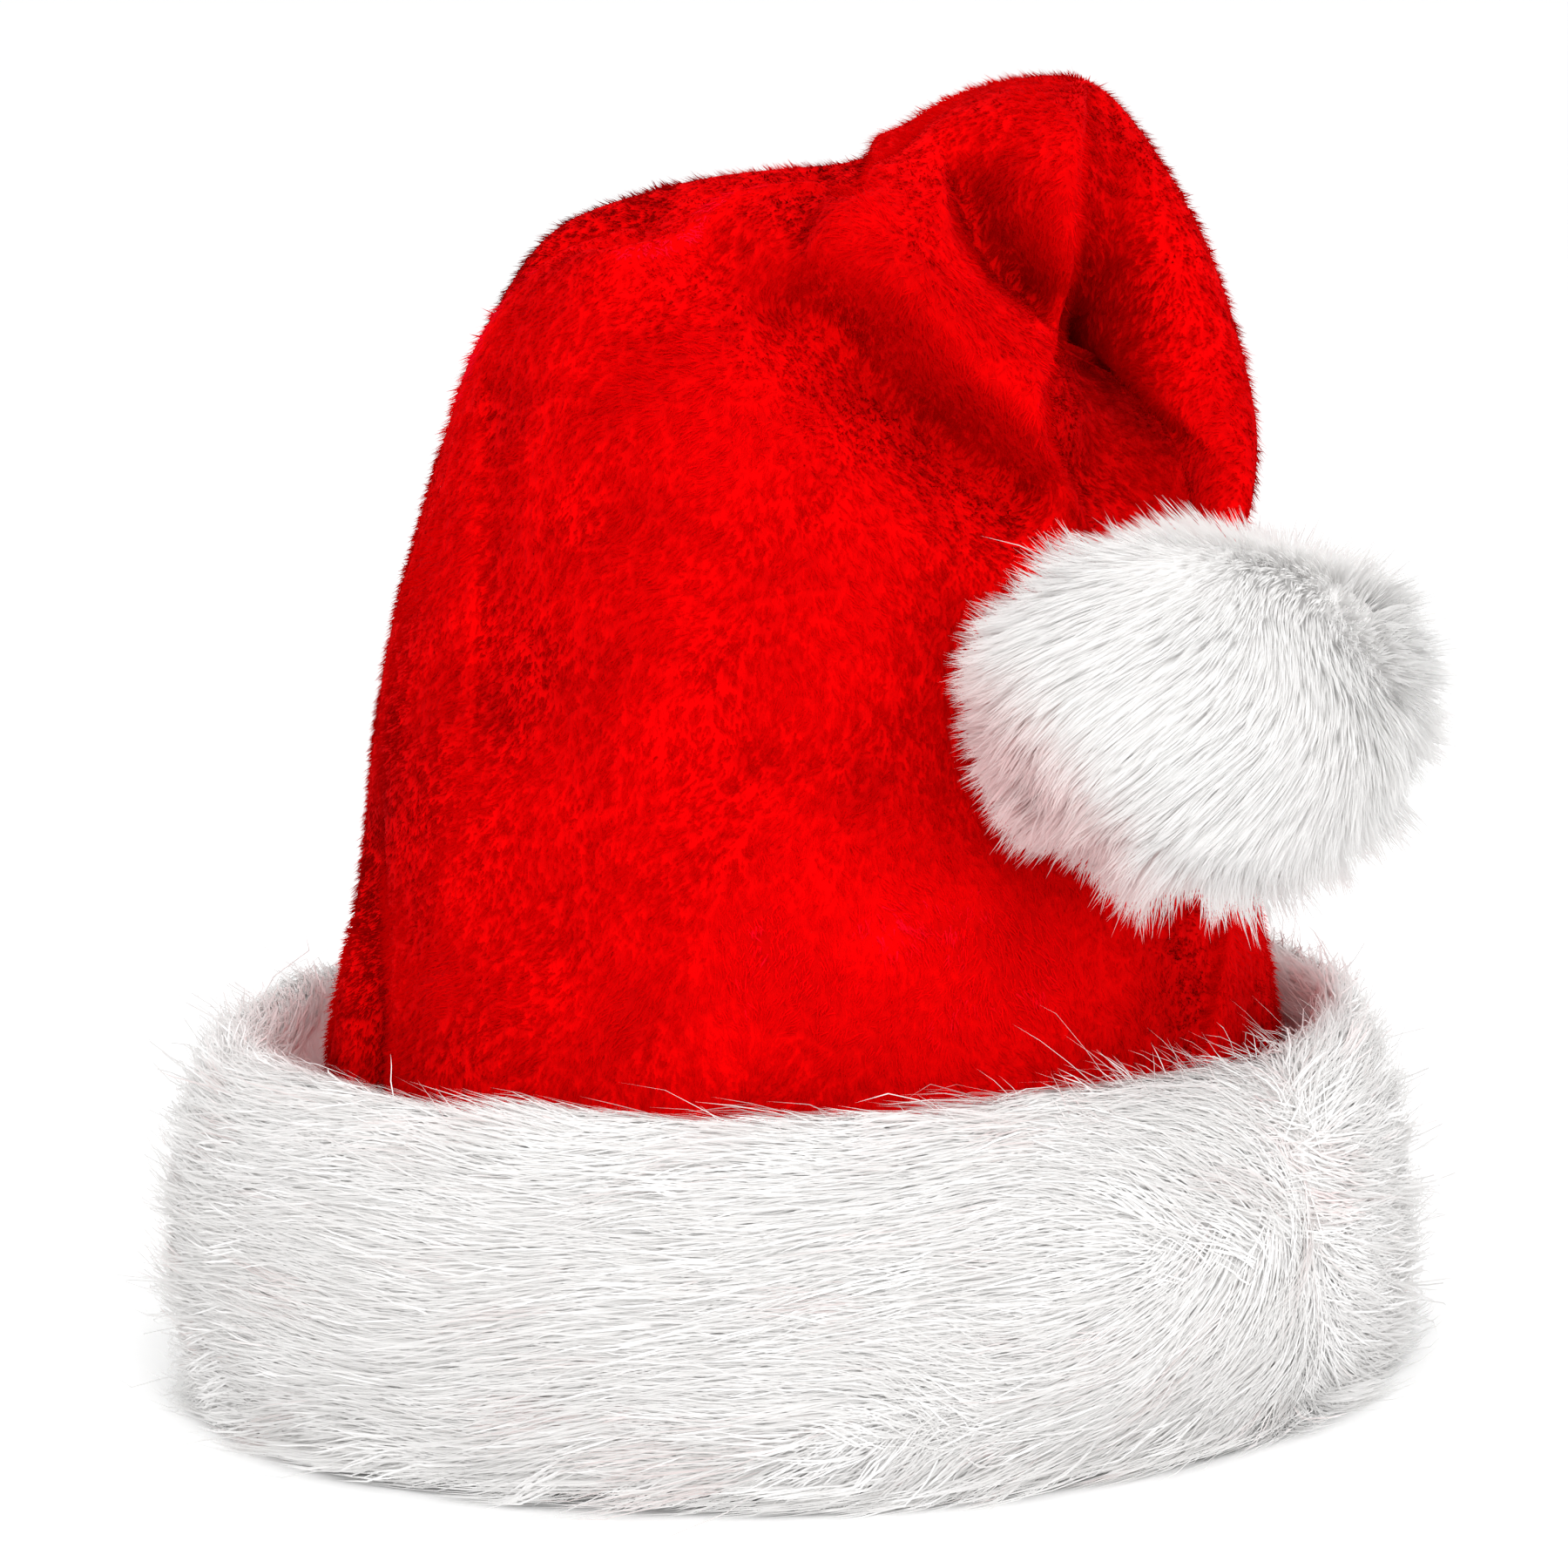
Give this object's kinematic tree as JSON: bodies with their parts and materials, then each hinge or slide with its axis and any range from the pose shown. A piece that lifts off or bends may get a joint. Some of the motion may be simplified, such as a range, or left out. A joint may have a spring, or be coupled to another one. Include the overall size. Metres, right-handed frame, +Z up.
{
  "type": "christmas party hat",
  "caption": "Soft plush party hat with a floppy tip folded over to one side, a deep fur cuff round the head opening and a fur pompom on the tip.",
  "frame": {"origin": "middle of the hat's box in plan, on the surface that the cuff stands on", "axes": "+Z up; the front, where the pompom hangs, towards -Y; +X to the right seen from the front, the side that the tip folds to"},
  "size_m": [0.267, 0.2742, 0.2655],
  "materials": {
    "plush_red": "short brushed plush pile, matte with a soft sheen",
    "fur_white": "long soft faux fur, matte"
  },
  "bodies": {
    "root": {"crown": "plush_red", "fur_cuff": "fur_white", "pompom": "fur_white"}
  },
  "joints": []
}
